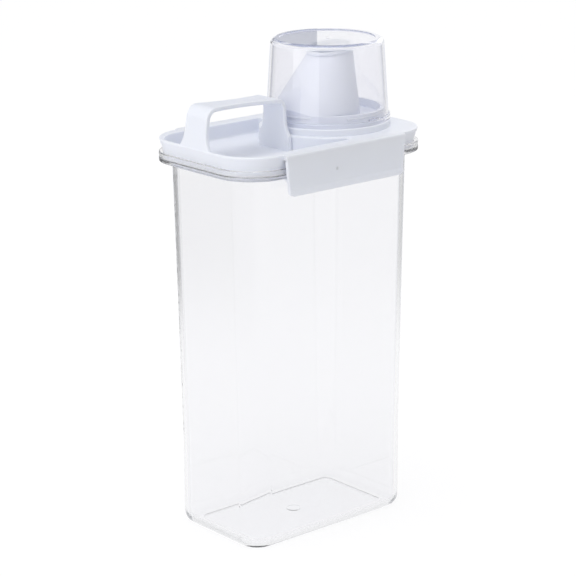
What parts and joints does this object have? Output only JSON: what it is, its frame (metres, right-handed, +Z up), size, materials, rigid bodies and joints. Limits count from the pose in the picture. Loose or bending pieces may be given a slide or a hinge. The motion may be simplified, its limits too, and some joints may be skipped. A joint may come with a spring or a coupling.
{
  "type": "detergent storage box",
  "caption": "Tall clear powder box with a white locking lid, arch handle, finger recess, slanted pouring spout and a clear measuring cup that caps the spout.",
  "frame": {"origin": "middle of the foot, on the surface that the box stands on", "axes": "+X along the long side of the box, towards the spout and the cup; +Y to the rear latch; +Z up"},
  "size_m": [0.149, 0.1064, 0.3],
  "materials": {
    "body_clear": "clear, polished mould",
    "lid_white": "milky white, fine satin",
    "seal_soft": "soft, translucent white",
    "cup_clear": "clear with a faint lavender tint"
  },
  "bodies": {
    "box": {"container": "body_clear", "lid_seal": "seal_soft", "lid": "lid_white"},
    "front_latch": {"front_latch": "lid_white"},
    "rear_latch": {"rear_latch": "lid_white"},
    "measuring_cup": {"measuring_cup": "cup_clear"}
  },
  "joints": [
    {"name": "front_latch_hinge", "type": "hinge", "parent": "box", "child": "front_latch", "pos_m": [0, -0.0513, 0.24525], "axis": [-1, 0, 0], "range_deg": [0, 110]},
    {"name": "rear_latch_hinge", "type": "hinge", "parent": "box", "child": "rear_latch", "pos_m": [0, 0.0513, 0.24525], "axis": [1, 0, 0], "range_deg": [0, 110]},
    {"name": "cup_lift", "type": "slide", "parent": "box", "child": "measuring_cup", "axis": [0, 0, 1], "range_m": [0, 0.08]}
  ]
}
